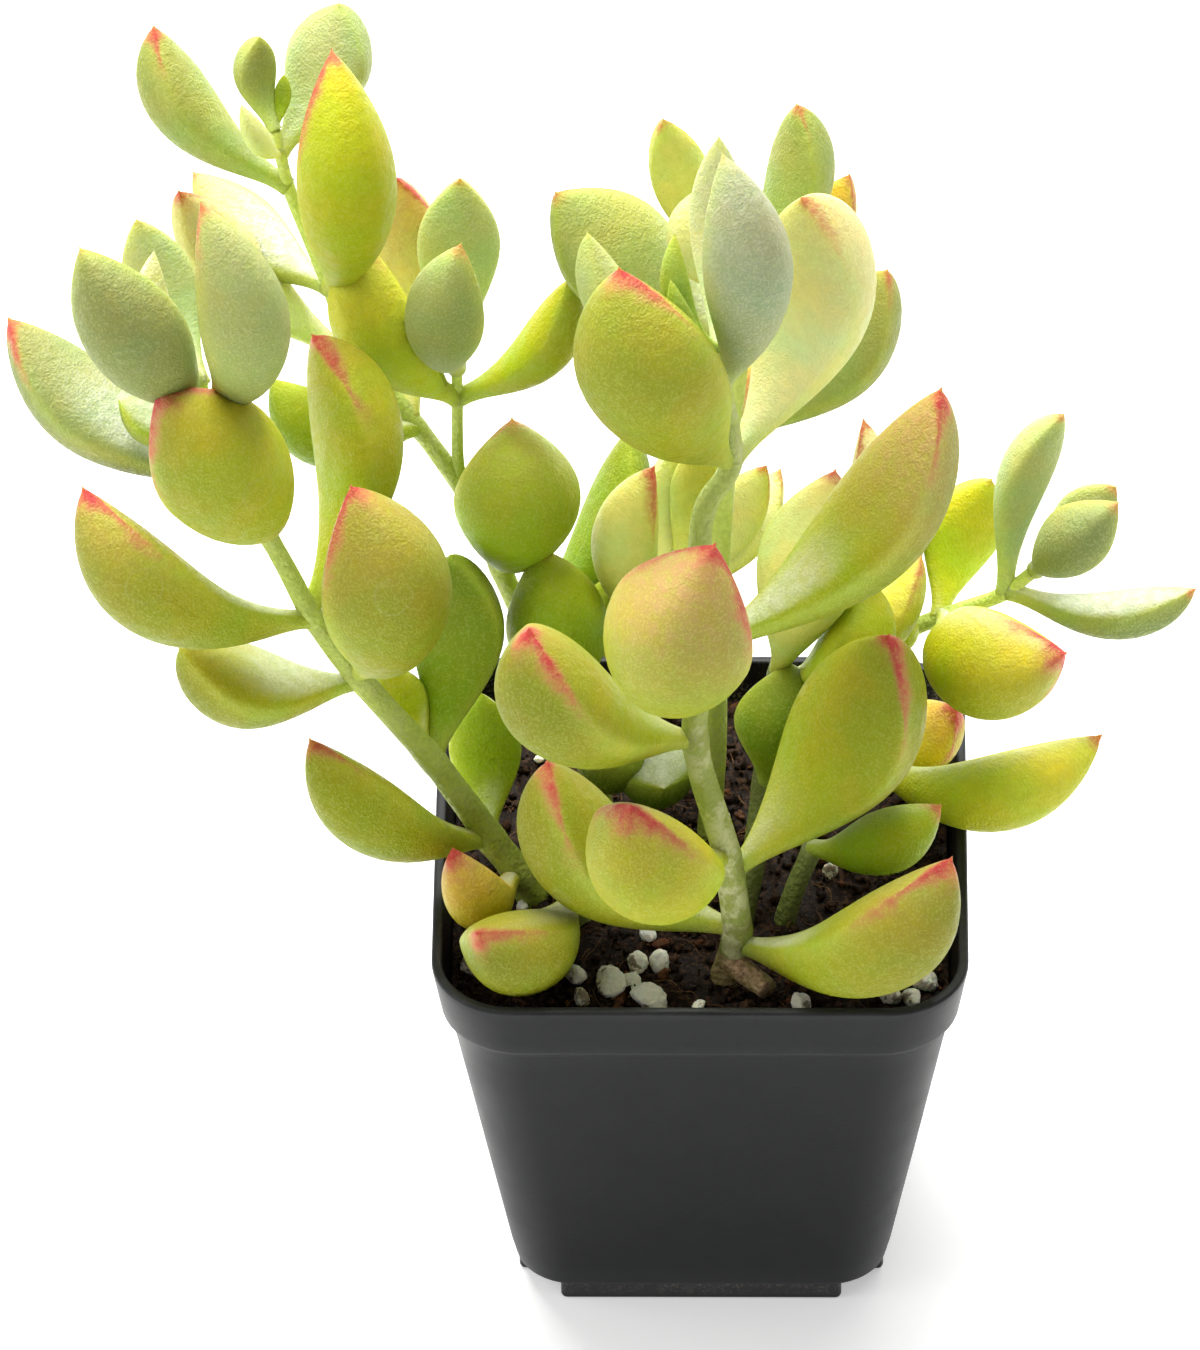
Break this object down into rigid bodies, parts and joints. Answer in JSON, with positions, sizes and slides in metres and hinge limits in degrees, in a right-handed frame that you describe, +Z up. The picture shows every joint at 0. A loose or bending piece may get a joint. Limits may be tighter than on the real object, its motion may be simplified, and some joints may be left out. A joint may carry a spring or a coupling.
{
  "type": "potted cotyledon pendens",
  "caption": "Cotyledon pendens in a square black nursery pot: plump boat-shaped green leaves with red tips on branching stems, over soil with perlite.",
  "frame": {"origin": "middle of the pot's underside, on the surface it stands on", "axes": "+Z up, -Y towards the picture's front, +X to the picture's right"},
  "size_m": [0.1313, 0.0735, 0.162],
  "materials": {
    "pot": "satin",
    "soil": "matte",
    "plant": "satin"
  },
  "bodies": {
    "root": {"pot": "pot", "soil": "soil", "stem_front": "plant", "stem_centre": "plant", "stem_left": "plant", "stem_back_left": "plant", "stem_middle": "plant", "stem_right_middle": "plant", "stem_right": "plant", "stem_low_right": "plant", "stem_low_left": "plant"}
  },
  "joints": []
}
